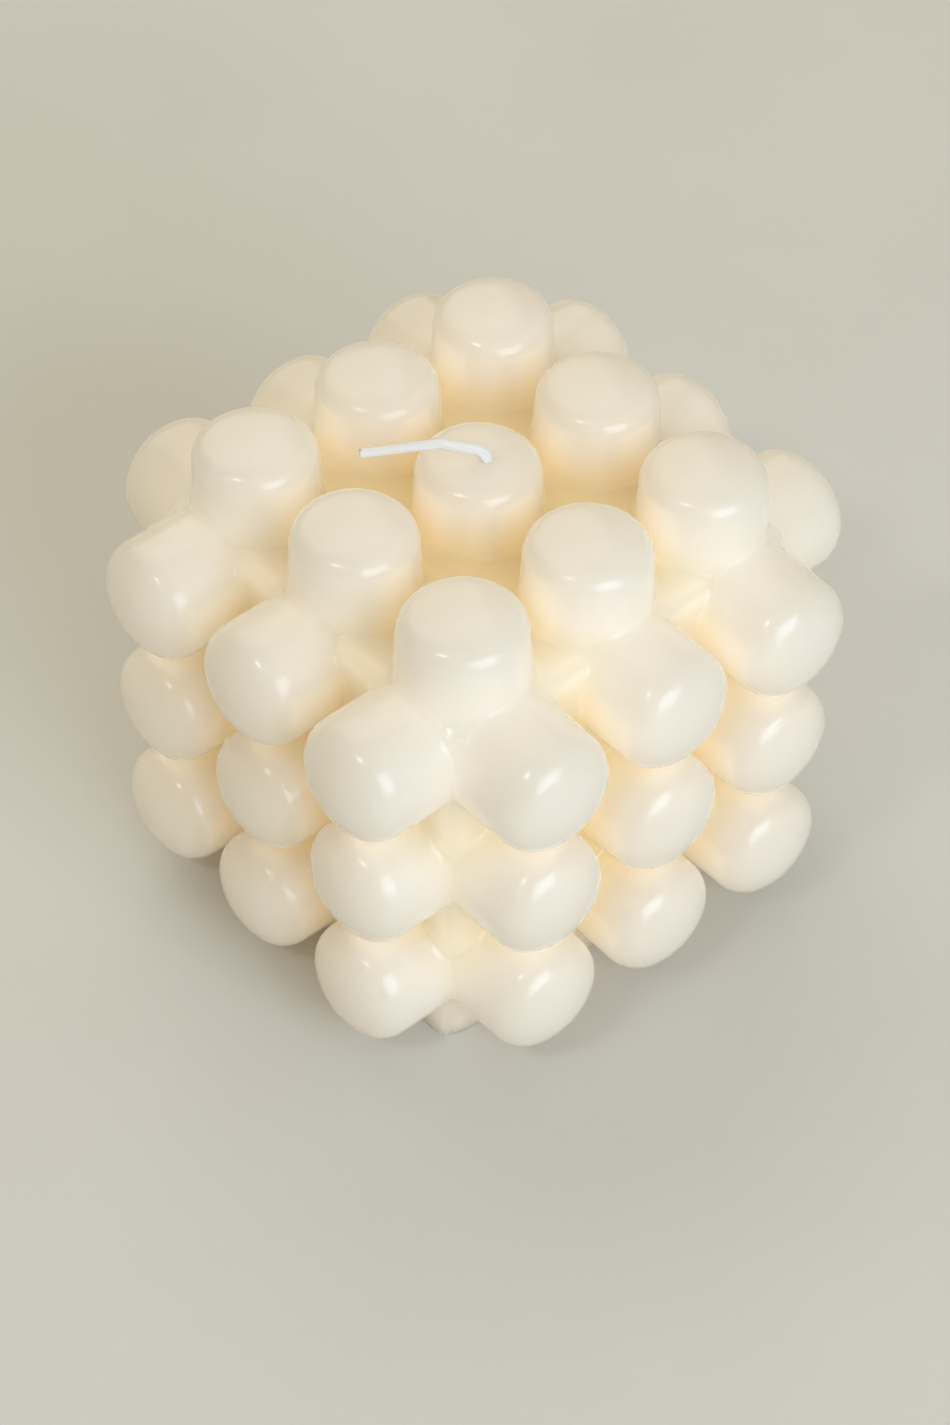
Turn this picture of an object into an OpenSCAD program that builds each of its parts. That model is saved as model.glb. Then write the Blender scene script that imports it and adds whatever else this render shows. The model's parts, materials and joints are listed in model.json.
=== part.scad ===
// Bubble candle. One casting of wax makes a cube with round bubbles on its top and on its four sides.
// A cotton wick runs down through the middle top bubble to a metal tab in the base. Its free end is bent
// over, and hinges at the bend, just above the wax.
// Millimetres, +Z up, origin in the middle of the base.

/* [Layout] */
// Bubbles along each edge of the cube
bubbles_per_edge = 3; // [3:2:5]
// Spacing of the bubbles along a face
bubble_pitch = 18; // [16:0.5:24]
// Spacing of the rows of bubbles up a side
row_pitch = 17.75; // [16:0.25:24]

/* [Cube] */
// From the axes of the outer bubbles to the wall of the cube
wall_margin = 7.75; // [7:0.25:12]
// From the axes of the top row of side bubbles to the top face of the cube
top_margin = 6.2; // [4:0.1:12]
// From the base to the axes of the lowest row of side bubbles
base_margin = 11; // [8.5:0.1:16]
// Radius of the upright edges of the cube
upright_edge = 3; // [1:0.1:5]
// Radius of the top edges of the cube
top_edge = 2.2; // [0.5:0.1:4]

/* [Side bubbles] */
// Diameter of a side bubble at its rim
side_d = 15; // [12:0.1:17]
// How far a side bubble stands out from the wall of the cube
side_reach = 11.3; // [8:0.1:16]
// Radius of the rounded rim of a side bubble
side_rim = 3.8; // [1:0.1:4.5]
// How far the crowned end of a side bubble stands above its rim
side_crown = 1.05; // [0.2:0.05:1.4]
// Draft angle of the wall of a side bubble, in degrees
side_draft = 0.6; // [0.2:0.1:4]

/* [Top bubbles] */
// Diameter of a top bubble at its rim
top_d = 14.6; // [12:0.1:17]
// How far a top bubble stands up from the top face of the cube
top_reach = 10.3; // [8:0.1:16]
// Radius of the rounded rim of a top bubble
top_rim = 2.8; // [1:0.1:4.5]
// How far the crowned end of a top bubble stands above its rim
top_crown = 0.65; // [0.2:0.05:1.4]
// Draft angle of the wall of a top bubble, in degrees
top_draft = 3.8; // [0.2:0.1:6]
// How much lower the middle top bubble is, where the wax sank round the wick as it set
middle_dip = 0.5; // [0:0.1:2]

/* [Wick] */
// Diameter of the braided wick
wick_d = 1.2; // [0.8:0.1:2.4]
// Gap round the wick in the wax and in the tab
wick_fit = 0.05; // [0.02:0.01:0.2]
// Where the wick leaves the wax, from the middle along X
wick_x = 1.8; // [-3:0.1:3]
// Where the wick leaves the wax, from the middle along Y
wick_y = -0.5; // [-3:0.1:3]
// Heading of the free end, in degrees anticlockwise from +X
wick_heading = 231; // [0:1:359]
// Lean of the wick away from upright where it leaves the wax, in degrees
wick_lean = 45; // [20:1:60]
// Radius of the bend that makes the wick lean
lean_radius = 1.8; // [1.3:0.1:4]
// Gap at the bend between the stem and the free end
bend_gap = 0.15; // [0.1:0.01:0.4]
// Slope of the free end above level at the bend, in degrees
tip_slope = 30; // [5:1:40]
// Slope of the free end below level at its cut end, in degrees
tip_droop = 7.5; // [1:0.5:15]
// Radius of the bow in the free end
bow_radius = 7.5; // [3:0.5:20]
// Length of the straight stretch to the cut end
tip_run = 8.4; // [4:0.1:14]

/* [Wick tab] */
// Diameter of the tab's disc
tab_d = 15; // [8:0.5:24]
// Thickness of the tab's sheet metal
tab_sheet = 0.4; // [0.25:0.05:1]
// Height of the tab's crimped neck above its disc
neck_height = 6; // [3:0.5:15]
// How far the tab's disc sits up inside the base
tab_depth = 0.5; // [0.2:0.1:2]
// Gap round the tab in the wax
tab_fit = 0.05; // [0.02:0.01:0.3]

/* [Hidden] */
$fn = 64;
// A little extra length on cuts, so that they go right through a face
overcut = 1;
// How much deeper than the rounded edges every bubble is rooted in the cube
root_extra = 0.5;

// Layout of the bubbles about the middle of the cube
last_bubble = bubbles_per_edge - 1;
outer_axis = last_bubble / 2 * bubble_pitch;
columns = [for (i = [0 : last_bubble]) i * bubble_pitch - outer_axis];
rows = [for (i = [0 : last_bubble]) base_margin + i * row_pitch];

// Size of the cube
cube_w = 2 * (outer_axis + wall_margin);
cube_h = base_margin + last_bubble * row_pitch + top_margin;
root_depth = max(upright_edge, top_edge) + root_extra;

// The wick, from the tab up to the ball at its bend
wax_top = cube_h + top_reach - middle_dip;
bend_out = lean_radius * (1 - cos(wick_lean));
bend_up = lean_radius * sin(wick_lean);
bend_x = wick_x + bend_out * cos(wick_heading);
bend_y = wick_y + bend_out * sin(wick_heading);
bend_z = wax_top + bend_up;

// The tab's neck closes round the wick
wick_hole_d = wick_d + 2 * wick_fit;
neck_d = wick_hole_d + 2 * tab_sheet;

// A square or oblong from the base line up, with its two top corners rounded
module rounded_top(width, height, radius) {
    translate([-width / 2, 0]) square([width, height - radius]);
    translate([radius - width / 2, 0]) square([width - 2 * radius, height]);
    for (side = [-1, 1])
        translate([side * (width / 2 - radius), height - radius]) circle(radius);
}

// A square with all four corners rounded
module rounded_square(width, radius) {
    square([width, width - 2 * radius], center = true);
    square([width - 2 * radius, width], center = true);
    for (x = [-1, 1], y = [-1, 1])
        translate([x, y] * (width / 2 - radius)) circle(radius);
}

// The cube, with rounded upright edges and rounded top edges
module wax_cube() {
    intersection() {
        linear_extrude(cube_h) rounded_square(cube_w, upright_edge);
        intersection_for(turn = [0, 90])
            rotate([90, 0, turn])
                linear_extrude(cube_w + overcut, center = true) rounded_top(cube_w, cube_h, top_edge);
    }
}

// Half the outline of a bubble: a drafted wall, a rim arc and a crown arc, each tangent to the next
module bubble_outline(d, reach, rim, crown, draft) {
    rim_x = d / 2 - rim;
    rim_y = reach - crown - rim;
    crown_drop = (rim_x * rim_x - crown * crown) / (2 * crown);
    crown_radius = crown_drop + crown + rim;
    crown_y = rim_y - crown_drop;
    wall_end = [rim_x + rim * cos(draft), rim_y + rim * sin(draft)];
    root_x = wall_end.x + (wall_end.y + root_depth) * tan(draft);
    // The crown's arc ends on the line from its centre through the rim's centre
    beyond_rim = [rim_x, crown_drop] * 2 * crown_radius / norm([rim_x, crown_drop]);
    beyond_tip = [0, 2 * crown_radius];
    intersection() {
        translate([0, -root_depth]) square([root_x, root_depth + reach]);
        union() {
            polygon([[0, -root_depth], [root_x, -root_depth], wall_end, [rim_x, rim_y], [0, rim_y]]);
            translate([rim_x, rim_y]) circle(rim);
            translate([0, crown_y]) intersection() {
                circle(crown_radius);
                polygon([[0, 0], beyond_rim, beyond_tip]);
            }
        }
    }
}

module side_bubble() {
    rotate_extrude() bubble_outline(side_d, side_reach, side_rim, side_crown, side_draft);
}

module top_bubble(dip) {
    rotate_extrude() bubble_outline(top_d, top_reach - dip, top_rim, top_crown, top_draft);
}

// The bubbles on one wall of the cube, the wall that faces -Y
module side_wall() {
    for (x = columns, z = rows)
        translate([x, -cube_w / 2, z]) rotate([90, 0, 0]) side_bubble();
}

module top_wall() {
    for (x = columns, y = columns)
        translate([x, y, cube_h]) top_bubble(x == 0 && y == 0 ? middle_dip : 0);
}

// A straight stretch of wick up from the origin, and what follows on its end
module wick_run(length) {
    cylinder(d = wick_d, h = length);
    translate([0, 0, length]) children();
}

// A bend of the wick from +Z towards +X, and what follows on its end
module wick_bend(radius, angle) {
    translate([radius, 0, 0]) {
        rotate([90, 0, 180]) rotate_extrude(angle = angle) translate([radius, 0]) circle(d = wick_d);
        rotate([0, angle, 0]) translate([-radius, 0, 0]) children();
    }
}

module wax_body() {
    color("#EFE6D2") difference() {
        union() {
            wax_cube();
            for (turn = [0 : 90 : 270])
                rotate([0, 0, turn]) side_wall();
            top_wall();
        }
        translate([wick_x, wick_y, -overcut]) {
            cylinder(d = wick_hole_d, h = wax_top + 2 * overcut);
            cylinder(d = neck_d + 2 * tab_fit, h = overcut + tab_depth + tab_sheet + neck_height);
            cylinder(d = tab_d + 2 * tab_fit, h = overcut + tab_depth + tab_sheet);
        }
    }
}

// The stretch that is cast into the wax, with a ball where the free end bends
module wick_stem() {
    color("#F1F2F4") translate([wick_x, wick_y, tab_depth]) rotate([0, 0, wick_heading])
        wick_run(wax_top - tab_depth) wick_bend(lean_radius, wick_lean) sphere(d = wick_d);
}

// The free end, bowed over and cut off square
module wick_tip() {
    color("#F1F2F4") translate([bend_x, bend_y, bend_z]) rotate([0, 90 - tip_slope, wick_heading])
        translate([0, 0, wick_d / 2 + bend_gap])
            wick_bend(bow_radius, tip_slope + tip_droop) wick_run(tip_run);
}

// A disc with a neck crimped round the wick
module wick_tab() {
    color("#B9BCC0") translate([wick_x, wick_y, tab_depth]) difference() {
        union() {
            cylinder(d = tab_d, h = tab_sheet);
            cylinder(d = neck_d, h = tab_sheet + neck_height);
        }
        translate([0, 0, -overcut]) cylinder(d = wick_hole_d, h = tab_sheet + neck_height + 2 * overcut);
    }
}

wax_body();
wick_stem();
wick_tip();
wick_tab();
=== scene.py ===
# %% [markdown]
# # A bubble candle
#
# The real candle is one casting of cream wax: a cube with nine round bubbles on its top and nine on each of
# its four sides. A braided cotton wick runs down through the middle to a small tin-plated tab in the base,
# and its free end is bent over. This lesson dresses the CAD model of that candle. It models the wax, the wick
# and the tab again with the soft and fine forms of the real ones, gives each a finish, and lights them.
#
# The CAD model comes first, because every piece here is placed by it and rides on its bodies.

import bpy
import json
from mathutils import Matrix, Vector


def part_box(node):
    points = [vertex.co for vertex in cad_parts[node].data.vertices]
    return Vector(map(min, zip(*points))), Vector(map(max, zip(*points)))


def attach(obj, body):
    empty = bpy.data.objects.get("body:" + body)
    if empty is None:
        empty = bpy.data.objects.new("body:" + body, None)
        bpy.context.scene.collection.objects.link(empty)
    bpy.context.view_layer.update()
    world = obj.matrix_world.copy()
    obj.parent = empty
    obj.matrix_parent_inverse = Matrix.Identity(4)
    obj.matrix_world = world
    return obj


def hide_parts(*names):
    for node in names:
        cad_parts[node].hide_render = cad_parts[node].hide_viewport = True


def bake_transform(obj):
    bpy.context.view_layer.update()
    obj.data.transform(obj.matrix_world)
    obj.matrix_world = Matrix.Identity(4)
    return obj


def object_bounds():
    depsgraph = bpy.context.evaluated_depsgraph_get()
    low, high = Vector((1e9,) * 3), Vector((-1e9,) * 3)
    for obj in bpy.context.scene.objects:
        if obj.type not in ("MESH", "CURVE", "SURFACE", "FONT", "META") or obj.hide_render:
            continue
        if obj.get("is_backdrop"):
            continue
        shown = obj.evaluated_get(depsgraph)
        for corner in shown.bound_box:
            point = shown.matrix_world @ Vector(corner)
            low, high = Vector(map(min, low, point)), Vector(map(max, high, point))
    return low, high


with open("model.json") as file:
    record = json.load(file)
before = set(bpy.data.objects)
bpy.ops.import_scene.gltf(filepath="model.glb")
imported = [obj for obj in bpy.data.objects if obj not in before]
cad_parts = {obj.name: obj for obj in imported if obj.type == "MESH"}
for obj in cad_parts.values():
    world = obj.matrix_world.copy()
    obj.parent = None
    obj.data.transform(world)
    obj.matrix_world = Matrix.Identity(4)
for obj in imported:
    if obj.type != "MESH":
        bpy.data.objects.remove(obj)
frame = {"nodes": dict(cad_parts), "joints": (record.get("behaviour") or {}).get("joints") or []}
cad_low, cad_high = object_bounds()
print("CAD nodes:", list(frame["nodes"]))

# %% Import what the lesson uses
import json
import math
import random

import bmesh
import bpy
import numpy as np
from mathutils import Matrix, Quaternion, Vector, noise

MM = 0.001
scene = bpy.context.scene


def in_mm(lengths):
    """Lengths in metres as rounded millimetres, to print."""
    return [round(length / MM, 2) for length in lengths]


print("CAD box in mm:", in_mm(cad_high - cad_low))

# %% [markdown]
# ## Camera
#
# The photograph looks down on a corner of the candle from close by, so the bubbles near the lens are plainly
# larger than those behind. A lens and a distance that match that are worth more than any later correction,
# so the camera comes before the shapes. It was found by fitting the outlines of the bubbles.

# %% Point the camera
CAMERA_AZIMUTH = math.radians(48.38)
CAMERA_ELEVATION = math.radians(47.14)
CAMERA_ROLL = math.radians(0.93)
CAMERA_DISTANCE = 372.1 * MM
CAMERA_AIM = Vector((0, 0, 19.3 * MM))
CAMERA_LENS = 76.7
CAMERA_NEAR = 10 * MM


def direction(azimuth, elevation):
    """The way from the candle to a camera or a light. Azimuth 0 is along -Y, and it turns towards +X."""
    level = math.cos(elevation)
    return Vector((math.sin(azimuth) * level, -math.cos(azimuth) * level, math.sin(elevation)))


def add_to_scene(name, data):
    """A new object at the origin, for a mesh, a camera or a light."""
    item = bpy.data.objects.new(name, data)
    scene.collection.objects.link(item)
    return item


towards_camera = direction(CAMERA_AZIMUTH, CAMERA_ELEVATION)
camera = add_to_scene("camera", bpy.data.cameras.new("camera"))
camera.data.lens = CAMERA_LENS
camera.data.clip_start = CAMERA_NEAR
camera.location = CAMERA_AIM + CAMERA_DISTANCE * towards_camera
camera.rotation_mode = "QUATERNION"
camera.rotation_quaternion = towards_camera.to_track_quat("Z", "Y") @ Quaternion((0, 0, 1), CAMERA_ROLL)
scene.camera = camera
print("camera at, mm:", in_mm(camera.location))

# %% [markdown]
# ## Wax
#
# The candle is cast in a silicone mould, so the cube and its bubbles are one body, with soft creases where a
# bubble meets the cube or its neighbour. Booleans would leave those creases knife sharp. Here each bubble is
# a closed solid that reaches into the cube, and a voxel remesh fuses them all. The solids have the outer
# sizes of the CAD model, which are repeated here, so the two printed widths and heights have to agree.

# %% Sizes of the wax
BUBBLES_PER_EDGE = 3
# Spacing of the bubbles along a face, and of their rows up a side
PITCH = 18 * MM
ROW_PITCH = 17.75 * MM
# From the axes of the outer bubbles to the walls, the top and the base of the cube
WALL_MARGIN = 7.75 * MM
TOP_MARGIN = 6.2 * MM
BASE_MARGIN = 11 * MM
# Radii of the cube's rounded edges
UPRIGHT_EDGE = 3 * MM
TOP_EDGE = 2.2 * MM
# How deep a bubble is rooted in the cube, and how far it stands out
ROOT_DEPTH = 0.9 * MM
SIDE_REACH = 11.3 * MM
TOP_REACH = 10.3 * MM
SIDE_BUBBLE = {"width": 15 * MM, "rim": 3.8 * MM, "crown": 1.05 * MM, "draft": math.radians(0.6)}
TOP_BUBBLE = {"width": 14.6 * MM, "rim": 2.8 * MM, "crown": 0.65 * MM, "draft": math.radians(3.8)}
# How much lower the middle top bubble is, where the wax sank round the wick
MIDDLE_DIP = 0.5 * MM

steps_along = range(BUBBLES_PER_EDGE)
columns = [(step - (BUBBLES_PER_EDGE - 1) / 2) * PITCH for step in steps_along]
rows = [BASE_MARGIN + step * ROW_PITCH for step in steps_along]
half_cube = columns[-1] + WALL_MARGIN
cube_top = rows[-1] + TOP_MARGIN
wax_low, wax_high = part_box("wax_body")
print("width and height in mm, here:", in_mm([2 * (half_cube + SIDE_REACH), cube_top + TOP_REACH]))
print("width and height in mm, CAD:", in_mm([wax_high.x - wax_low.x, wax_high.z]))

# %% [markdown]
# A bevelled cylinder would miss the shape of a bubble, so one bubble is an outline spun about its axis: a
# slightly drafted wall, a rim arc and a flat crown arc, each tangent to the next. The outline starts and ends
# on the axis, so that the spin closes it. The root ends just inside the wall of the cube. Where it passes the
# cube's rounded edges it stands clear of them, and leaves the small crescent-shaped steps that the real
# casting has there.


# %% Spin a bubble
RIM_STEPS = 10
CROWN_STEPS = 6
SPIN_STEPS = 48
# Points that are closer than this count as one
TOUCHING = 0.001 * MM


def arc(centre, radius, start, end, steps):
    """Points round an arc. Its angles are measured from the outward axis towards the tip of the bubble."""
    angles = [start + (end - start) * step / steps for step in range(steps + 1)]
    return [(centre[0] + radius * math.cos(angle), centre[1] + radius * math.sin(angle)) for angle in angles]


def bubble_outline(reach, width, rim, crown, draft):
    """(radius, height) along a bubble, from the middle of its root to its tip."""
    rim_radius = width / 2 - rim
    rim_height = reach - crown - rim
    crown_drop = (rim_radius**2 - crown**2) / (2 * crown)
    crown_centre = (0, rim_height - crown_drop)
    meeting = math.atan2(crown_drop, rim_radius)
    rim_arc = arc((rim_radius, rim_height), rim, draft, meeting, RIM_STEPS)
    crown_arc = arc(crown_centre, crown_drop + crown + rim, meeting, math.pi / 2, CROWN_STEPS)
    wall_radius, wall_height = rim_arc[0]
    root_radius = wall_radius + (wall_height + ROOT_DEPTH) * math.tan(draft)
    return [(0, -ROOT_DEPTH), (root_radius, -ROOT_DEPTH), *rim_arc, *crown_arc[1:]]


def spin_outline(outline):
    """A solid of revolution about Z, as a bmesh. It is closed if its outline starts and ends on the axis."""
    shape = bmesh.new()
    corners = [shape.verts.new((radius, 0, height)) for radius, height in outline]
    edges = [shape.edges.new(pair) for pair in zip(corners, corners[1:])]
    bmesh.ops.spin(
        shape,
        geom=corners + edges,
        cent=(0, 0, 0),
        axis=(0, 0, 1),
        angle=math.tau,
        steps=SPIN_STEPS,
        use_merge=True,
    )
    bmesh.ops.remove_doubles(shape, verts=shape.verts, dist=TOUCHING)
    bmesh.ops.recalc_face_normals(shape, faces=shape.faces)
    return shape


trial = spin_outline(bubble_outline(SIDE_REACH, **SIDE_BUBBLE))
print("a side bubble has", len(trial.faces), "faces and", round(trial.calc_volume() / MM**3), "mm3")
trial.free()

# %% [markdown]
# The cube starts as a plain cube. Its upright edges and its top edges are rounded by two bevels. It goes a
# little below the base, because the base is cut flat later, after the remesh has rounded everything.

# %% Round the cube
EDGE_SEGMENTS = 6
SKIRT = 3 * MM
cube_height = cube_top + SKIRT


def is_upright(edge):
    first, second = edge.verts
    return abs(first.co.z - second.co.z) > cube_height / 2


def is_on_top(edge):
    return all(abs(end.co.z - cube_top) < TOUCHING for end in edge.verts)


def round_edges(shape, edges, radius):
    """Bevels edges to an even arc."""
    bmesh.ops.bevel(
        shape,
        geom=edges,
        offset=radius,
        offset_type="OFFSET",
        affect="EDGES",
        segments=EDGE_SEGMENTS,
        profile=0.5,
        material=-1,
    )


wax_shape = bmesh.new()
bmesh.ops.create_cube(wax_shape, size=1)
bmesh.ops.scale(wax_shape, vec=(2 * half_cube, 2 * half_cube, cube_height), verts=wax_shape.verts)
bmesh.ops.translate(wax_shape, vec=(0, 0, cube_top - cube_height / 2), verts=wax_shape.verts)
round_edges(wax_shape, [edge for edge in wax_shape.edges if is_upright(edge)], UPRIGHT_EDGE)
round_edges(wax_shape, [edge for edge in wax_shape.edges if is_on_top(edge)], TOP_EDGE)
print("the rounded cube has", len(wax_shape.faces), "faces")

# %% [markdown]
# No two bubbles of a real casting are quite alike: the soft mould gives, and the wax shrinks as it sets. So
# each bubble gets a reach, a place and a tilt of its own from a seeded generator. Two differences follow the
# photograph: the bubbles in the middle of a wall sank a little, and those at the top corners stand a little
# prouder.

# %% Place the bubbles
CASTING = random.Random(18)
REACH_SPREAD = 0.12 * MM
PLACE_SPREAD = 0.12 * MM
TILT_SPREAD = math.radians(0.7)
MIDDLE_SINK = 0.35 * MM
CORNER_GAIN = 0.3 * MM


def casting_error():
    """A small shift and tilt of one bubble on its wall."""
    shift = Vector((CASTING.uniform(-1, 1), CASTING.uniform(-1, 1), 0)) * PLACE_SPREAD
    tilt_x = Matrix.Rotation(CASTING.uniform(-1, 1) * TILT_SPREAD, 4, "X")
    tilt_y = Matrix.Rotation(CASTING.uniform(-1, 1) * TILT_SPREAD, 4, "Y")
    return Matrix.Translation(shift) @ tilt_x @ tilt_y


def add_to_wax(solid, place):
    """Moves a solid to its place and adds it to the wax."""
    bmesh.ops.transform(solid, matrix=place, verts=solid.verts)
    mesh = bpy.data.meshes.new("solid")
    solid.to_mesh(mesh)
    solid.free()
    wax_shape.from_mesh(mesh)
    bpy.data.meshes.remove(mesh)


def add_bubble(place, reach, sizes):
    """Spins one bubble with a reach of its own and adds it to the wax."""
    bubble = spin_outline(bubble_outline(reach + CASTING.uniform(-1, 1) * REACH_SPREAD, **sizes))
    add_to_wax(bubble, place @ casting_error())


outward = Matrix.Rotation(math.pi / 2, 4, "X")
for quarter in range(4):
    wall = Matrix.Rotation(quarter * math.pi / 2, 4, "Z")
    for column in columns:
        for row in rows:
            in_corner = column != 0 and row == rows[-1]
            in_middle = column == 0 and row == rows[1]
            reach = SIDE_REACH + in_corner * CORNER_GAIN - in_middle * MIDDLE_SINK
            add_bubble(wall @ Matrix.Translation((column, -half_cube, row)) @ outward, reach, SIDE_BUBBLE)
for x in columns:
    for y in columns:
        reach = TOP_REACH - (x == 0 and y == 0) * MIDDLE_DIP
        add_bubble(Matrix.Translation((x, y, cube_top)), reach, TOP_BUBBLE)
print("the wax is", len(wax_shape.faces), "faces before it is fused")

# %% [markdown]
# Where the wick leaves the wax, the melted wax climbed it and set as a small collar. It is one more spun
# outline, and it is fused with the rest.

# %% Add the collar round the wick
WICK_PLACE = Vector((1.8 * MM, -0.5 * MM, 0))
COLLAR_RADIUS = 1.6 * MM
COLLAR_NECK = 0.85 * MM
COLLAR_HEIGHT = 0.5 * MM
# How far below the wax its flare starts, as a share of its height
COLLAR_FOOT = 0.25
COLLAR_STEPS = 6

wax_top = cube_top + TOP_REACH - MIDDLE_DIP
collar = [(0, -COLLAR_HEIGHT), (COLLAR_RADIUS, -COLLAR_HEIGHT)]
for step in range(COLLAR_STEPS + 1):
    share = step / COLLAR_STEPS
    radius = COLLAR_NECK + (COLLAR_RADIUS - COLLAR_NECK) * (1 - share) ** 2
    collar.append((radius, COLLAR_HEIGHT * ((1 + COLLAR_FOOT) * share - COLLAR_FOOT)))
collar.append((0, COLLAR_HEIGHT))
add_to_wax(spin_outline(collar), Matrix.Translation(WICK_PLACE + Vector((0, 0, wax_top))))
print("radius and height of the collar in mm:", in_mm([COLLAR_RADIUS, COLLAR_HEIGHT]))

# %% [markdown]
# The remesh fuses the solids on a grid of voxels. It keeps only the outer skin, however many solids overlap,
# and leaves even, square faces that are good to smooth.

# %% Fuse the wax
VOXEL = 0.3 * MM


def finished_mesh(item):
    """The mesh of an object with its modifiers applied."""
    depsgraph = bpy.context.evaluated_depsgraph_get()
    return bpy.data.meshes.new_from_object(item.evaluated_get(depsgraph))


wax_mesh = bpy.data.meshes.new("wax")
wax_shape.to_mesh(wax_mesh)
wax_shape.free()
solids = add_to_scene("wax_solids", wax_mesh)
remesh = solids.modifiers.new("fuse", "REMESH")
remesh.mode = "VOXEL"
remesh.voxel_size = VOXEL
wax = add_to_scene("wax_casting", finished_mesh(solids))
bpy.data.objects.remove(solids)
print("the fused wax has", len(wax.data.polygons), "faces")

# %% [markdown]
# Two Smooth modifiers follow. The first takes the steps of the grid away all over. The second works only
# where the surface is hollow, so the creases get the soft fillet of a casting and the rims of the bubbles
# keep their shape. A vertex is in a hollow where its neighbours stand above it along its normal.

# %% Find the creases
# How far the neighbours of a vertex stand above it where a crease starts, in voxels
CREASE_DEPTH = 0.06
# A crease spreads over some rings of vertices, and the share of its weight that each ring loses grows to this
CREASE_RINGS = 4
CREASE_FADE = 0.5


def values_of(items, name, width, kind):
    """One property of a mesh's vertices or edges, as an array with a row for each of them."""
    values = np.empty(width * len(items), kind)
    items.foreach_get(name, values)
    return values.reshape(-1, width)


def crease_weights(mesh):
    """1 in the hollow creases of a mesh, less on the rings of vertices round them, and 0 elsewhere."""
    places = values_of(mesh.vertices, "co", 3, np.float32)
    normals = values_of(mesh.vertices, "normal", 3, np.float32)
    first, second = values_of(mesh.edges, "vertices", 2, np.int32).T
    along = places[second] - places[first]
    rise = np.zeros(len(places))
    np.add.at(rise, first, np.sum(along * normals[first], axis=1))
    np.add.at(rise, second, -np.sum(along * normals[second], axis=1))
    weights = np.clip(rise / VOXEL / CREASE_DEPTH - 1, 0, 1)
    for ring in range(CREASE_RINGS):
        kept = 1 - CREASE_FADE * ring / CREASE_RINGS
        spread = weights.copy()
        np.maximum.at(spread, first, kept * weights[second])
        np.maximum.at(spread, second, kept * weights[first])
        weights = spread
    return weights


weights = crease_weights(wax.data)
print("creases cover", round(100 * np.mean(weights > 0)), "% of the wax")

# %% [markdown]
# Smooth reads the weights from a vertex group, and a group takes one weight at a time, so they are added in
# ten levels. Decimate then brings the mesh back to a size that is easy to share.

# %% Soften the creases
WEIGHT_LEVELS = 10
GRID_PASSES = 3
CREASE_PASSES = 14
TRIANGLES = 185000

creases = wax.vertex_groups.new(name="creases")
for level in range(1, WEIGHT_LEVELS + 1):
    chosen = np.flatnonzero(np.round(WEIGHT_LEVELS * weights) == level)
    creases.add(chosen.tolist(), level / WEIGHT_LEVELS, "REPLACE")
steps_off = wax.modifiers.new("steps off", "SMOOTH")
steps_off.iterations = GRID_PASSES
fillet = wax.modifiers.new("fillet", "SMOOTH")
fillet.iterations = CREASE_PASSES
fillet.vertex_group = creases.name
thin = wax.modifiers.new("thin", "DECIMATE")
thin.ratio = min(1, TRIANGLES / (2 * len(wax.data.polygons)))
thin.use_collapse_triangulate = True
softened = finished_mesh(wax)
wax.modifiers.clear()
wax.vertex_groups.clear()
wax.data = softened
print("the softened wax has", len(softened.polygons), "faces")

# %% [markdown]
# Three things make the casting less perfect. Its faces swell and sink by a tenth of a millimetre over the
# width of a bubble, which slow noise along the normals gives. The open side of the mould, which makes the
# base, has sharper corners than the closed end. And one corner of the base is worn flat by a knock.

# %% Swell the faces and shape the corners of the base
SWELL_SIZE = 16 * MM
SWELL = 0.1 * MM
LIP_HEIGHT = 3 * MM
LIP_SQUARENESS = 0.8
# The flat that the knock left: how far from the corner it starts, a point on it and the way that it faces
WORN_SETBACK = 4.8 * MM
WORN_PLACE = Vector((half_cube, WORN_SETBACK - half_cube, 0))
WORN_WAY = Vector((0.91, -0.23, -0.35)).normalized()


def squared_corner(place):
    """Moves a point of a rounded upright edge towards the sharp corner that the edge would have had."""
    inset = half_cube - UPRIGHT_EDGE
    out_x = abs(place.x) - inset
    out_y = abs(place.y) - inset
    if min(out_x, out_y) <= 0 or place.z > LIP_HEIGHT:
        return place
    fade = LIP_SQUARENESS * (1 - max(0, place.z) / LIP_HEIGHT)
    growth = 1 + fade * (math.hypot(out_x, out_y) / max(out_x, out_y) - 1)
    corner_x = math.copysign(inset + growth * out_x, place.x)
    corner_y = math.copysign(inset + growth * out_y, place.y)
    return Vector((corner_x, corner_y, place.z))


def worn_corner(place):
    """Presses a point of the worn corner back to the flat."""
    depth = (place - WORN_PLACE).dot(WORN_WAY)
    if depth <= 0 or place.z > LIP_HEIGHT or place.x < 0:
        return place
    return place - depth * WORN_WAY


wax_shape = bmesh.new()
wax_shape.from_mesh(wax.data)
for vertex in wax_shape.verts:
    swollen = vertex.co + vertex.normal * SWELL * noise.noise(vertex.co / SWELL_SIZE)
    vertex.co = worn_corner(squared_corner(swollen))
print("the faces swell by up to, mm:", in_mm([SWELL]))

# %% [markdown]
# The thinning left a few slivers that lie face down, and each would show as a short dark line. A sliver is
# mended by turning its longest edge, so that the edge joins the other two corners of its pair of faces.


# %% Mend the slivers
def lies_face_down(face):
    return all(edge.calc_face_angle(0) > math.pi / 2 for edge in face.edges)


wax_shape.normal_update()
slivers = [face for face in wax_shape.faces if lies_face_down(face)]
for sliver in slivers:
    longest = max(sliver.edges, key=bmesh.types.BMEdge.calc_length)
    bmesh.ops.rotate_edges(wax_shape, edges=[longest])
print("slivers mended:", len(slivers))

# %% [markdown]
# The base is scraped flat when the wax has set, so its edge is crisp, with small chips. A bisection cuts the
# skirt off. A circle for the tab's recess is bridged to the cut edge and pushed up into the wax.

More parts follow.
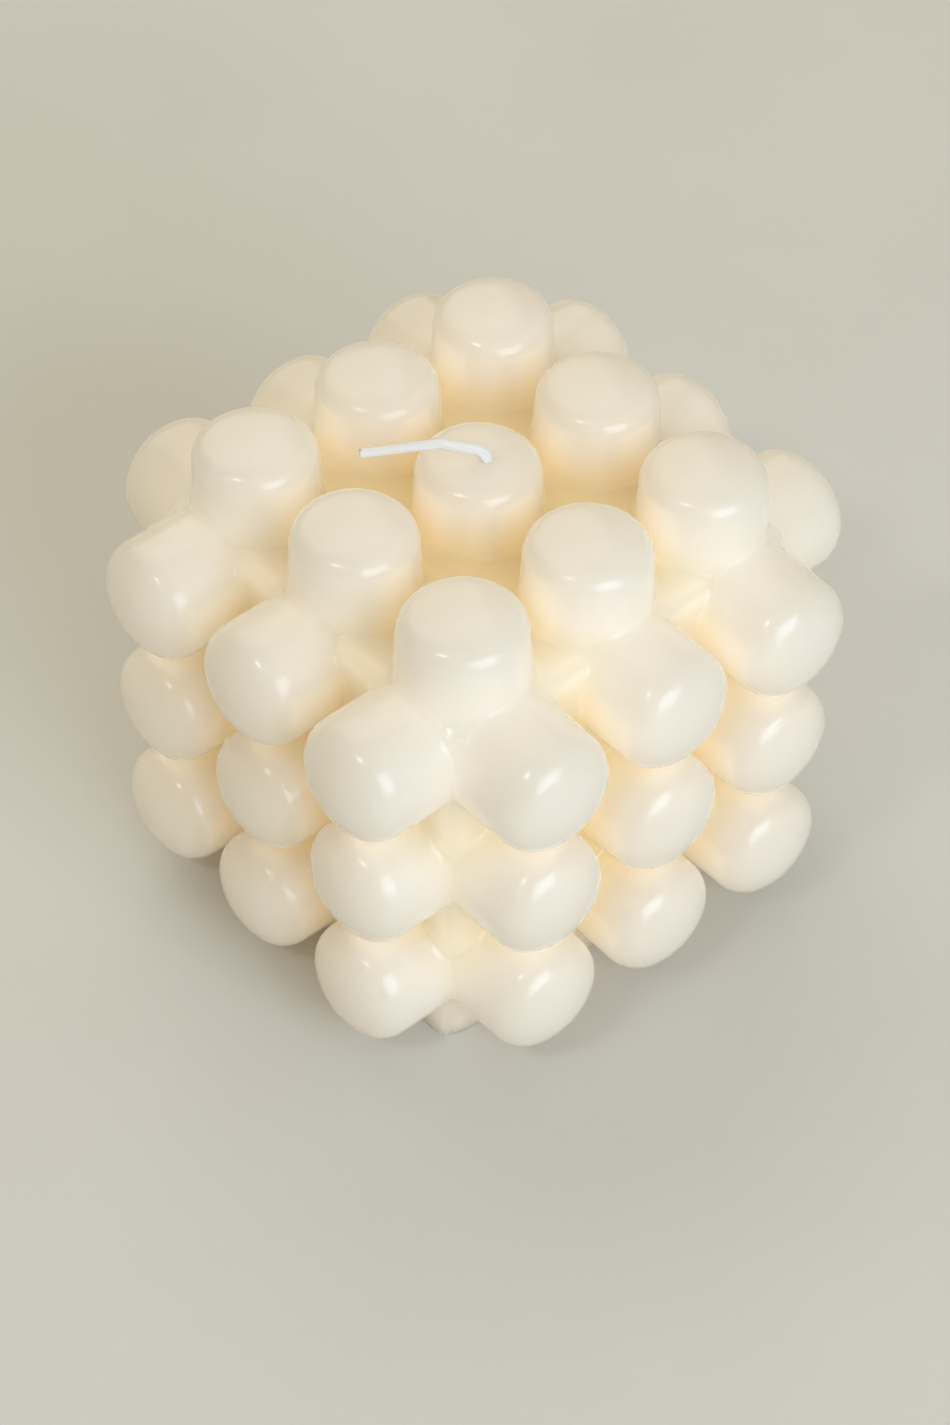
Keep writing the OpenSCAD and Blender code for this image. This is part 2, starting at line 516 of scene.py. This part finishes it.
# %% Cut the base
TAB_RECESS_RADIUS = 7.55 * MM
TAB_RECESS_DEPTH = 0.9 * MM
RECESS_SEGMENTS = 64
CHIP_SIZE = 2.5 * MM
CHIP_DEPTH = 0.25 * MM


def only(parts, kind):
    """The vertices or the edges among the parts that an operator made."""
    return [part for part in parts if isinstance(part, kind)]


cut = bmesh.ops.bisect_plane(
    wax_shape,
    geom=wax_shape.verts[:] + wax_shape.edges[:] + wax_shape.faces[:],
    plane_co=(0, 0, 0),
    plane_no=(0, 0, -1),
    clear_outer=True,
)
cut_edges = only(cut["geom_cut"], bmesh.types.BMEdge)
for vertex in {end for edge in cut_edges for end in edge.verts}:
    vertex.co.z += CHIP_DEPTH * max(0, noise.noise(vertex.co / CHIP_SIZE))
ring = bmesh.ops.create_circle(wax_shape, segments=RECESS_SEGMENTS, radius=TAB_RECESS_RADIUS)["verts"]
bmesh.ops.translate(wax_shape, vec=WICK_PLACE, verts=ring)
ring_edges = list(dict.fromkeys(edge for vertex in ring for edge in vertex.link_edges))
bmesh.ops.bridge_loops(wax_shape, edges=cut_edges + ring_edges)
recess = bmesh.ops.extrude_edge_only(wax_shape, edges=ring_edges)["geom"]
bmesh.ops.translate(wax_shape, vec=(0, 0, TAB_RECESS_DEPTH), verts=only(recess, bmesh.types.BMVert))
bmesh.ops.contextual_create(wax_shape, geom=only(recess, bmesh.types.BMEdge))
bmesh.ops.recalc_face_normals(wax_shape, faces=wax_shape.faces)
print("the cut edge has", len(cut_edges), "edges")

# %% [markdown]
# All faces are shaded smooth, and only the edges of the base and of the recess stay crisp. The finished wax
# rides on the candle's body and stands for its CAD solid, which is hidden.


# %% Store the wax
def store_shape(shape, piece):
    """Shades a shape smooth, stores it in a piece's mesh and prints what it is."""
    for face in shape.faces:
        face.smooth = True
    shape.to_mesh(piece.data)
    open_edges = sum(not edge.is_manifold for edge in shape.edges)
    volume = round(shape.calc_volume() / MM**3, 1)
    print(piece.name, "has", len(shape.faces), "faces,", open_edges, "open edges and", volume, "mm3")
    shape.free()


for edge in cut_edges + ring_edges:
    edge.smooth = False
store_shape(wax_shape, wax)
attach(wax, "candle")
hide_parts("wax_body")

# %% [markdown]
# ## Wick
#
# The wick is a cotton braid, primed with wax so that it holds a bend. From the tab up to the cut end it is a
# row of stretches, each straight or evenly bent. It leans over where it leaves the wax, bends on over its
# hinge, rises a little to an elbow and then droops.

# %% Sizes of the wick
WICK_D = 1.2 * MM
WICK_START = 0.5 * MM
BURIED_STEP = 1.5 * MM
ROUTE_STEP = 0.15 * MM
LEAN_RADIUS = 1.8 * MM
LEAN = math.radians(45)
BEND_LENGTH = 0.9 * MM
BEND = math.radians(30)
RISE_RUN = 3.6 * MM
ELBOW_LENGTH = 0.5 * MM
ELBOW = math.radians(23.5)
TIP_RUN = 8.9 * MM

buried_length = wax_top - WICK_START
# The length, the turn and the spacing of the rings of each stretch
STRETCHES = [
    (buried_length, 0, BURIED_STEP),
    (LEAN_RADIUS * LEAN, LEAN, ROUTE_STEP),
    (BEND_LENGTH, BEND, ROUTE_STEP),
    (RISE_RUN, 0, ROUTE_STEP),
    (ELBOW_LENGTH, ELBOW, ROUTE_STEP),
    (TIP_RUN, 0, ROUTE_STEP),
]
print("stretches of the wick in mm:", in_mm(length for length, turn, spacing in STRETCHES))

# %% [markdown]
# All the bends lie in one upright plane, so the route needs only a heading and the angle by which it leans. A
# curve object could hold it, but a list of points with their ways and distances is what the next step needs.

# %% Lay out the wick's route
WICK_HEADING = math.radians(231)
heading = Vector((math.cos(WICK_HEADING), math.sin(WICK_HEADING), 0))
across = Vector((0, 0, 1)).cross(heading)


def leaning(angle):
    """The way that the wick goes where it leans over by an angle."""
    return heading * math.sin(angle) + Vector((0, 0, math.cos(angle)))


def wick_route():
    """(point, way, distance) at every ring along the wick."""
    point = WICK_PLACE + Vector((0, 0, WICK_START))
    angle = 0
    distance = 0
    stations = [(point, leaning(angle), distance)]
    for length, turn, spacing in STRETCHES:
        count = max(1, round(length / spacing))
        for _ in range(count):
            point = point + leaning(angle + turn / count / 2) * length / count
            angle += turn / count
            distance += length / count
            stations.append((point, leaning(angle), distance))
    return stations


route = wick_route()
end_point, end_way, wick_length = route[-1]
print("the wick is, mm:", in_mm([wick_length]), "long and ends at, mm:", in_mm(end_point))

# %% [markdown]
# The wax that primes the braid fills it, so its strands show only as long shallow grooves. A curve with a
# round bevel would be a plain tube. Here the cross-section is a circle with one rounded lobe for each strand.
# Every vertex keeps its place in the cross-section in an attribute, for the finish to draw fibres along it.

# %% Shape the cross-section
STRANDS = 6
STRAND_POINTS = 8
GROOVE = 0.12

wick_shape = bmesh.new()
strand_place = wick_shape.verts.layers.float_vector.new("strand_place")
ring_points = STRANDS * STRAND_POINTS
ring = bmesh.ops.create_circle(wick_shape, cap_ends=True, segments=ring_points, radius=WICK_D / 2)["verts"]
for vertex in ring:
    lobe = abs(math.sin(STRANDS / 2 * math.atan2(vertex.co.y, vertex.co.x)))
    vertex.co *= 1 - GROOVE * (1 - lobe) ** 2
    vertex[strand_place] = vertex.co
print("the cross-section has", len(ring), "points")

# %% [markdown]
# The rim of the cross-section is extruded along the route one step at a time, and every step is a transform
# that carries the ring from one place on the route to the next, with a slow twist. Near the root, where
# melted wax climbed the wick, it is thicker. The attribute also takes the distance along the wick.

# %% Extrude the wick
LAY_LENGTH = 45 * MM
ROOT_SWELL = 0.36
ROOT_SWELL_REACH = 3 * MM
TIP_TAPER = 0.1


def thickness(distance):
    """The wick's thickness at a distance along it, as a share of its full thickness."""
    above_wax = max(0, distance - buried_length)
    root_swell = ROOT_SWELL * math.exp(-((above_wax / ROOT_SWELL_REACH) ** 2))
    return 1 + root_swell - TIP_TAPER * above_wax / (wick_length - buried_length)


def section_place(point, way, distance):
    """The transform that puts the cross-section on the route, turned and scaled."""
    turned = Matrix((across, way.cross(across), way)).transposed().to_4x4()
    twist = Matrix.Rotation(math.tau * distance / LAY_LENGTH, 4, "Z")
    return Matrix.Translation(point) @ turned @ twist @ Matrix.Scale(thickness(distance), 4)


ring_edges = wick_shape.edges[:]
before = Matrix.Identity(4)
for point, way, distance in route:
    after = section_place(point, way, distance)
    bmesh.ops.transform(wick_shape, matrix=after @ before.inverted(), verts=ring)
    before = after
    for vertex in ring:
        vertex[strand_place].z = distance
    if distance < wick_length:
        extruded = bmesh.ops.extrude_edge_only(wick_shape, edges=ring_edges)["geom"]
        ring = only(extruded, bmesh.types.BMVert)
        ring_edges = only(extruded, bmesh.types.BMEdge)
print("the wick has", len(wick_shape.faces), "faces along its length")

# %% [markdown]
# The cut end is slightly frayed: each strand ends at a length of its own. A cap with a point in its middle
# closes it.

# %% Fray the end
FRAY = 0.3 * MM

frays = [CASTING.uniform(-1, 1) * FRAY for strand in range(STRANDS)]
for vertex in ring:
    across_section = vertex[strand_place]
    turn = math.atan2(across_section.y, across_section.x) / math.tau
    vertex.co += end_way * frays[math.floor(turn * STRANDS) % STRANDS]
cap = bmesh.ops.contextual_create(wick_shape, geom=ring_edges)["faces"]
bmesh.ops.poke(wick_shape, faces=cap)
bmesh.ops.recalc_face_normals(wick_shape, faces=wick_shape.faces)
wick = add_to_scene("wick", bpy.data.meshes.new("wick"))
store_shape(wick_shape, wick)

# %% [markdown]
# The free end is stood up by hand to be lit, and the wick bends where it leaves the wax. The CAD model has
# two solids and a hinge there. Two pieces would show a gap, so the wick stays one unparented mesh, set in
# place at rest, and the two CAD solids are hidden.

hinge = Vector(frame["joints"][0]["pos_m"])
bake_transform(wick)
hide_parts("wick_stem", "wick_tip")
print("the wick bends about, mm:", in_mm(hinge))

# %% [markdown]
# ## Wick tab
#
# The tab is one disc of thin sheet, pressed in a single stroke: a bead stiffens it, and its middle is drawn
# up into a neck that closes round the wick. A disc and a tube would meet in a sharp corner that no press
# makes. So it is spun as one line, the lower face of the sheet from the rim to the top of the neck, and
# Solidify then gives the line the thickness of the sheet.

# %% Press the tab
TAB_RADIUS = 7.5 * MM
TAB_SHEET = 0.4 * MM
TAB_DEPTH = 0.5 * MM
NECK_RADIUS = 0.65 * MM
NECK_TOP = 6.9 * MM
NECK_BEND = 0.85 * MM
BEAD_PLACE = 4.6 * MM
BEAD_RADIUS = 0.9 * MM
BEAD_DROP = 0.3 * MM
BEAD_STEPS = 10

bead = []
for step in range(BEAD_STEPS + 1):
    angle = math.pi * step / BEAD_STEPS
    drop = BEAD_DROP * math.sin(angle) ** 2
    bead.append((BEAD_PLACE + BEAD_RADIUS * math.cos(angle), TAB_DEPTH - drop))
bend_centre = (NECK_RADIUS + NECK_BEND, TAB_DEPTH + NECK_BEND)
neck_bend = arc(bend_centre, NECK_BEND, -math.pi / 2, -math.pi, RIM_STEPS)
tab_shape = spin_outline([(TAB_RADIUS, TAB_DEPTH), *bead, *neck_bend, (NECK_RADIUS, NECK_TOP)])
bmesh.ops.solidify(tab_shape, geom=tab_shape.faces[:], thickness=-TAB_SHEET)
bmesh.ops.translate(tab_shape, vec=WICK_PLACE, verts=tab_shape.verts)
tab_heights = [vertex.co.z for vertex in tab_shape.verts]
print("the tab goes from and to, mm:", in_mm([min(tab_heights), max(tab_heights)]))
tab = add_to_scene("pressed_tab", bpy.data.meshes.new("pressed_tab"))
store_shape(tab_shape, tab)
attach(tab, "candle")
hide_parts("wick_tab")

# %% [markdown]
# ## Finishes
#
# Colours are written as sRGB hex codes and made linear by one function. One small function adds a node, sets
# its properties and fills its sockets with values or links.


# %% Colours and nodes
def colour(code):
    """A linear RGBA colour from an sRGB hex code."""
    shares = [int(code[start : start + 2], 16) / 255 for start in (1, 3, 5)]
    return (*[c / 12.92 if c <= 0.04045 else ((c + 0.055) / 1.055) ** 2.4 for c in shares], 1)


def new_finish(name):
    """A material with no nodes yet, and its node tree."""
    finish = bpy.data.materials.new(name)
    finish.use_nodes = True
    finish.node_tree.nodes.clear()
    return finish, finish.node_tree


def add_node(tree, kind, inputs=None, **settings):
    """A new node with its properties set and its sockets filled."""
    node = tree.nodes.new(kind)
    for name, value in settings.items():
        setattr(node, name, value)
    for name, value in (inputs or {}).items():
        socket = node.inputs[name]
        if isinstance(value, bpy.types.NodeSocket):
            tree.links.new(value, socket)
        else:
            socket.default_value = value
    return node


def dress(piece, finish):
    """Gives a piece its one material."""
    piece.data.materials.clear()
    piece.data.materials.append(finish)
    print(piece.name, "is dressed in", finish.name)


print("mid grey in linear light:", [round(share, 3) for share in colour("#808080")])

# %% [markdown]
# Candle wax is translucent: light goes in, scatters and comes out a few millimetres away, warmer than it went
# in. So the faces look cream, the edges glow, and the valleys between the bubbles, where light has passed
# through wax several times, turn honey coloured. Subsurface scattering gives most of that. Its scale is set
# larger than the depth of the real scattering, because the Burley method spreads light over a part of it.
#
# A gentle tint of painted light gives the rest, and keeps the look where scattering isn't drawn: the real
# wax is one colour. It goes by the distance from the middle, measured with fourth powers, so that points
# equally far out lie on a rounded cube: a painted honey glow on the faces of the cube, pale cream on the
# bubbles, and between them a deeper cream, painted shade, for the edges of the cube, which scattering alone
# makes too bright. The skin of cast wax is satin and faintly clouded, so slow noise varies its colour and its
# gloss, and a fine grain breaks up the glints.

# %% Cream wax
WAX_CLOUD = 6 * MM
WAX_CLOUDING = 0.05
WAX_GRAIN = 0.5 * MM
WAX_GRAIN_HEIGHT = 0.05 * MM
WAX_SMOOTHEST = 0.16
WAX_ROUGHEST = 0.24
WAX_SCATTERING = 14 * MM
# How far out the painted glow of the valleys fades to pale, and at which share of that the edges' painted
# shade lies
VALLEY_GLOW_RISE = 6.5 * MM
EDGE_SHADE_STOP = 0.6


def cream_wax():
    """Cast candle wax: satin and cloudy at the skin, glowing from inside, with a painted glow in the valleys
    and painted shade at the edges.
    """
    finish, tree = new_finish("cream_wax")
    place = add_node(tree, "ShaderNodeTexCoord").outputs["Object"]
    middle = (0, 0, cube_top / 2)
    centred = add_node(tree, "ShaderNodeVectorMath", {0: place, 1: middle}, operation="SUBTRACT")
    away = centred.outputs["Vector"]
    squared = add_node(tree, "ShaderNodeVectorMath", {0: away, 1: away}, operation="MULTIPLY")
    squares = squared.outputs["Vector"]
    fourths = add_node(tree, "ShaderNodeVectorMath", {0: squares, 1: squares}, operation="DOT_PRODUCT")
    reach = add_node(tree, "ShaderNodeMath", {0: fourths.outputs["Value"], 1: 1 / 4}, operation="POWER")
    proud = add_node(
        tree,
        "ShaderNodeMapRange",
        {"Value": reach.outputs["Value"], "From Min": half_cube, "From Max": half_cube + VALLEY_GLOW_RISE},
    )
    tint = add_node(tree, "ShaderNodeValToRGB", {"Fac": proud.outputs["Result"]})
    # Painted light: a honey glow on the faces of the cube, painted shade on its edges, pale cream on the
    # bubbles
    tint.color_ramp.elements[0].color = colour("#F4DEAC")
    tint.color_ramp.elements[1].color = colour("#F1E7D7")
    tint.color_ramp.elements.new(EDGE_SHADE_STOP).color = colour("#EFE1C6")
    clouds = add_node(tree, "ShaderNodeTexNoise", {"Vector": place, "Scale": 1 / WAX_CLOUD, "Detail": 3.0})
    clouded = add_node(
        tree,
        "ShaderNodeMix",
        {"Factor": WAX_CLOUDING, "A": tint.outputs["Color"], "B": clouds.outputs["Color"]},
        data_type="RGBA",
        blend_type="SOFT_LIGHT",
    )
    gloss = add_node(
        tree,
        "ShaderNodeMapRange",
        {"Value": clouds.outputs["Fac"], "To Min": WAX_SMOOTHEST, "To Max": WAX_ROUGHEST},
    )
    grain = add_node(tree, "ShaderNodeTexNoise", {"Vector": place, "Scale": 1 / WAX_GRAIN, "Detail": 2.0})
    bump = add_node(
        tree,
        "ShaderNodeBump",
        {"Height": grain.outputs["Fac"], "Strength": 0.06, "Distance": WAX_GRAIN_HEIGHT},
    )
    shader = add_node(
        tree,
        "ShaderNodeBsdfPrincipled",
        {
            "Base Color": clouded.outputs["Result"],
            "Roughness": gloss.outputs["Result"],
            "IOR": 1.5,
            "Subsurface Weight": 1.0,
            "Subsurface Radius": (1.0, 1.0, 1.0),
            "Subsurface Scale": WAX_SCATTERING,
            "Normal": bump.outputs["Normal"],
        },
        subsurface_method="BURLEY",
    )
    add_node(tree, "ShaderNodeOutputMaterial", {"Surface": shader.outputs["BSDF"]})
    return finish


dress(wax, cream_wax())

# %% [markdown]
# Bleached cotton is a clean white, cooler than the cream wax beside it, and the wax in it lets a little light
# through. Fine streaks along each strand stand for its fibres. They follow the wick round its bends, so they
# are drawn on the wick's own attribute and not on the object's coordinates. Real fibres are about 0.02 mm
# thick, too fine to show, so the streaks are drawn coarser.

# %% Bleached cotton
FIBRE = 0.12 * MM
FIBRE_RUN = 2.5 * MM
FIBRE_HEIGHT = 0.05 * MM
WICK_SCATTERING = 0.3 * MM
# Noise keeps to its middle values, so the ramp of the streaks does too
DARK_STREAK = 0.3
PALE_STREAK = 0.6


def bleached_cotton():
    """A waxed cotton braid: matt white, with soft streaks along its strands."""
    finish, tree = new_finish("bleached_cotton_braid")
    along = add_node(tree, "ShaderNodeAttribute", attribute_name="strand_place").outputs["Vector"]
    drawn_out = add_node(tree, "ShaderNodeMapping", {"Vector": along, "Scale": (1, 1, FIBRE / FIBRE_RUN)})
    fibres = add_node(
        tree,
        "ShaderNodeTexNoise",
        {"Vector": drawn_out.outputs["Vector"], "Scale": 1 / FIBRE, "Detail": 2.0},
    )
    shade = add_node(tree, "ShaderNodeValToRGB", {"Fac": fibres.outputs["Fac"]})
    shade.color_ramp.elements[0].color = colour("#F4F0EB")
    shade.color_ramp.elements[1].color = colour("#FFFCF8")
    shade.color_ramp.elements[0].position = DARK_STREAK
    shade.color_ramp.elements[1].position = PALE_STREAK
    bump = add_node(
        tree,
        "ShaderNodeBump",
        {"Height": fibres.outputs["Fac"], "Strength": 0.3, "Distance": FIBRE_HEIGHT},
    )
    shader = add_node(
        tree,
        "ShaderNodeBsdfPrincipled",
        {
            "Base Color": shade.outputs["Color"],
            "Roughness": 0.55,
            "IOR": 1.5,
            "Subsurface Weight": 0.4,
            "Subsurface Radius": (1.0, 1.0, 1.0),
            "Subsurface Scale": WICK_SCATTERING,
            "Normal": bump.outputs["Normal"],
        },
    )
    add_node(tree, "ShaderNodeOutputMaterial", {"Surface": shader.outputs["BSDF"]})
    return finish


dress(wick, bleached_cotton())

# %% [markdown]
# The tab is pressed from tin-plated steel sheet. Rolling left long fine lines in the bright tin, and they
# smear its reflections. They are noise drawn out along the sheet, which varies the tone and the gloss. The
# real lines are finer than they are drawn here, and would not show.

# %% Tin plate
ROLLING_LINE = 0.25 * MM
ROLLING_STRETCH = 20
TIN_SMOOTHEST = 0.22
TIN_ROUGHEST = 0.4


def tin_plate():
    """Rolled tin plate: a bright grey metal, streaked along the sheet."""
    finish, tree = new_finish("rolled_tin_plate")
    place = add_node(tree, "ShaderNodeTexCoord").outputs["Object"]
    drawn_out = add_node(tree, "ShaderNodeMapping", {"Vector": place, "Scale": (1 / ROLLING_STRETCH, 1, 1)})
    lines = add_node(
        tree,
        "ShaderNodeTexNoise",
        {"Vector": drawn_out.outputs["Vector"], "Scale": 1 / ROLLING_LINE, "Detail": 3.0},
    )
    tone = add_node(tree, "ShaderNodeValToRGB", {"Fac": lines.outputs["Fac"]})
    tone.color_ramp.elements[0].color = colour("#A9ADB2")
    tone.color_ramp.elements[1].color = colour("#D5D7DA")
    gloss = add_node(
        tree,
        "ShaderNodeMapRange",
        {"Value": lines.outputs["Fac"], "To Min": TIN_SMOOTHEST, "To Max": TIN_ROUGHEST},
    )
    shader = add_node(
        tree,
        "ShaderNodeBsdfPrincipled",
        {"Base Color": tone.outputs["Color"], "Metallic": 1.0, "Roughness": gloss.outputs["Result"]},
    )
    add_node(tree, "ShaderNodeOutputMaterial", {"Surface": shader.outputs["BSDF"]})
    return finish


dress(tab, tin_plate())

# %% [markdown]
# ## Studio
#
# The candle stands on a plain pale floor, large enough for views from every side. It is one square, with a
# matt finish that is slightly cloudy, so that it doesn't look like a sheet of plastic.

# %% Floor
FLOOR_SIZE = 6.0
FLOOR_CLOUD = 60 * MM


def pale_plaster():
    """Trowelled plaster: matt and pale, with faint clouds."""
    finish, tree = new_finish("pale_plaster")
    place = add_node(tree, "ShaderNodeTexCoord").outputs["Object"]
    clouds = add_node(tree, "ShaderNodeTexNoise", {"Vector": place, "Scale": 1 / FLOOR_CLOUD, "Detail": 6.0})
    tone = add_node(tree, "ShaderNodeValToRGB", {"Fac": clouds.outputs["Fac"]})
    tone.color_ramp.elements[0].color = colour("#DBD8CF")
    tone.color_ramp.elements[1].color = colour("#E6E4DC")
    look = {"Base Color": tone.outputs["Color"], "Roughness": 0.85}
    shader = add_node(tree, "ShaderNodeBsdfPrincipled", look)
    add_node(tree, "ShaderNodeOutputMaterial", {"Surface": shader.outputs["BSDF"]})
    return finish


floor_shape = bmesh.new()
bmesh.ops.create_grid(floor_shape, x_segments=1, y_segments=1, size=FLOOR_SIZE / 2)
floor = add_to_scene("floor", bpy.data.meshes.new("floor"))
floor_shape.to_mesh(floor.data)
floor_shape.free()
dress(floor, pale_plaster())
floor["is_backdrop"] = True
print("the floor is", FLOOR_SIZE, "m square")

# %% [markdown]
# The glints on the rims say where the lights were: a large window low on the right, and a smaller, higher one
# to the left of the camera. A pale wall behind the candle fills its far side, and the room lights the rest.
# Pale surfaces that face each other pass light on many times, so more bounces are kept than usual.

# %% Lights
LIGHT_AIM = Vector((0, 0, 35 * MM))
ROOM_STRENGTH = 0.428
LIGHT_BOUNCES = 24


def soft_light(name, azimuth, elevation, away, size, power, tint):
    """An oblong area light that faces the candle. Angles in degrees, lengths in metres, power in watts."""
    towards_light = direction(math.radians(azimuth), math.radians(elevation))
    lamp = bpy.data.lights.new(name, "AREA")
    lamp.shape = "RECTANGLE"
    lamp.size, lamp.size_y = size
    lamp.energy = power
    lamp.color = colour(tint)[:3]
    item = add_to_scene(name, lamp)
    item.location = LIGHT_AIM + away * towards_light
    item.rotation_euler = towards_light.to_track_quat("Z", "Y").to_euler()


soft_light("right_window", azimuth=83, elevation=24, away=0.9, size=(0.62, 0.55), power=4.94, tint="#D3E6FF")
soft_light("left_window", azimuth=8, elevation=52, away=0.9, size=(0.15, 0.075), power=0.65, tint="#FFFDFA")
soft_light("back_wall", azimuth=-110, elevation=45, away=1.2, size=(1.2, 1.2), power=4.41, tint="#FFFFF8")

room = bpy.data.worlds.new("room")
room.use_nodes = True
background = room.node_tree.nodes["Background"]
background.inputs["Color"].default_value = colour("#FFF7DF")
background.inputs["Strength"].default_value = ROOM_STRENGTH
scene.world = room
scene.view_settings.view_transform = "Standard"
scene.cycles.max_bounces = LIGHT_BOUNCES
scene.cycles.diffuse_bounces = LIGHT_BOUNCES

# %% [markdown]
# ## Sizes
#
# The dressed candle has to keep the size of the CAD model, so both boxes are printed, to be compared.

# %% Print the visual size
visual_low, visual_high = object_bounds()
print("visual box in mm:", in_mm(visual_high - visual_low))
